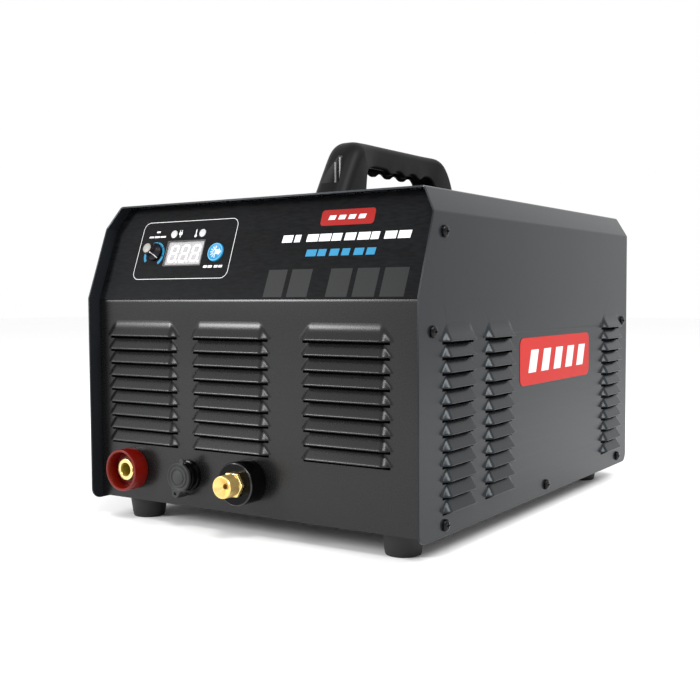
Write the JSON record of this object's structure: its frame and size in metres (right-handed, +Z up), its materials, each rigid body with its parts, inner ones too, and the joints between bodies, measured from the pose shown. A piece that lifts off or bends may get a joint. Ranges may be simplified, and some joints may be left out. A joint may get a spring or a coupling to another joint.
{
  "type": "plasma cutter power source",
  "caption": "Portable plasma cutting power source: louvred steel case, sloped control console, carry handle, return, control and torch connectors, rear fan and air inlet.",
  "frame": {"origin": "on the floor, under the middle of the unit's bounding box", "axes": "+X to the right seen from the front, +Y from the front panel towards the back, +Z up"},
  "size_m": [0.3004, 0.4296, 0.2919],
  "materials": {
    "cover_paint": "fine-textured satin slate-grey powder coat",
    "panel_paint": "textured dark charcoal powder coat",
    "console_film": "near-black printed film with a fine brushed texture",
    "foot_rubber": "matt black rubber",
    "handle_plastic": "satin black moulded plastic",
    "screw_black": "glossy black oxide",
    "steel": "zinc-plated",
    "knob_plastic": "semi-gloss black",
    "knob_cap_grey": "satin grey",
    "aluminium": "as extruded",
    "button_blue": "satin blue with a lighter ring",
    "display_grey": "light grey face with white segments",
    "clear_window": "clear film",
    "lamp_lens": "milky lamp lens",
    "board_green": "solder-masked circuit board",
    "socket_red": "semi-gloss red moulding",
    "brass": "bright machined brass",
    "connector_black": "satin black",
    "rocker_black": "glossy black",
    "cap_rubber": "matt grey rubber",
    "ferrite": "matt ferrite",
    "copper": "lacquered copper",
    "capacitor_sleeve": "dark sleeve",
    "hose_blue": "blue polyurethane air hose"
  },
  "bodies": {
    "case": {"air_hose_inlet": "hose_blue", "air_hose_torch": "hose_blue", "air_inlet_fitting": "brass", "base_tray": "panel_paint", "cable_gland": "connector_black", "capacitor_left": "capacitor_sleeve", "capacitor_right": "capacitor_sleeve", "carry_handle": "handle_plastic", "control_board": "board_green", "control_label": "console_film", "control_socket": "connector_black", "control_socket_nut": "steel", "cover": "cover_paint", "cover_screw_left_1": "screw_black", "cover_screw_left_2": "screw_black", "cover_screw_left_3": "screw_black", "cover_screw_left_4": "screw_black", "cover_screw_left_5": "screw_black", "cover_screw_left_6": "screw_black", "cover_screw_right_1": "screw_black", "cover_screw_right_2": "screw_black", "cover_screw_right_3": "screw_black", "cover_screw_right_4": "screw_black", "cover_screw_right_5": "screw_black", "cover_screw_right_6": "screw_black", "digit_display": "display_grey", "display_window": "clear_window", "fan_frame": "connector_black", "foot_front_left": "foot_rubber", "foot_front_right": "foot_rubber", "foot_rear_left": "foot_rubber", "foot_rear_right": "foot_rubber", "front_panel": "panel_paint", "gas_test_switch": "connector_black", "handle_screw_front": "steel", "handle_screw_rear": "steel", "heatsink": "aluminium", "output_choke": "copper", "overheat_led": "lamp_lens", "potentiometer": "steel", "power_board": "board_green", "power_led": "lamp_lens", "power_switch": "connector_black", "rear_panel": "panel_paint", "return_socket_contact": "brass", "return_socket_housing": "socket_red", "return_socket_nut": "steel", "solenoid_valve": "brass", "torch_collar": "connector_black", "torch_fitting": "brass", "torch_nut": "steel", "transformer_core": "ferrite", "transformer_winding": "copper"},
    "knob": {"current_knob": "knob_plastic", "knob_cap": "knob_cap_grey", "pot_shaft": "aluminium"},
    "gas_button": {"gas_test_button": "button_blue"},
    "socket_cap": {"control_socket_cap": "cap_rubber"},
    "fan": {"fan_rotor": "connector_black"},
    "rocker": {"power_rocker": "rocker_black"}
  },
  "joints": [
    {"name": "current_knob_turn", "type": "hinge", "parent": "case", "child": "knob", "pos_m": [-0.0969, -0.17113, 0.20317], "axis": [0, -0.9372, 0.3489], "range_deg": [0, 270]},
    {"name": "gas_test_press", "type": "slide", "parent": "case", "child": "gas_button", "axis": [0, 0.9372, -0.3489], "range_m": [0, 0.001], "stiffness_N_per_m": 1500},
    {"name": "socket_cap_open", "type": "hinge", "parent": "case", "child": "socket_cap", "pos_m": [-0.0574, -0.1861, 0.0256], "axis": [0.9659, 0, -0.2588], "range_deg": [0, 90]},
    {"name": "fan_spin", "type": "hinge", "parent": "case", "child": "fan", "pos_m": [-0.052, 0.1691, 0.1265], "axis": [0, 1, 0], "continuous": true},
    {"name": "power_rocker_toggle", "type": "hinge", "parent": "case", "child": "rocker", "pos_m": [0.088, 0.1846, 0.1725], "axis": [0, 0, -1], "range_deg": [0, 14]}
  ]
}
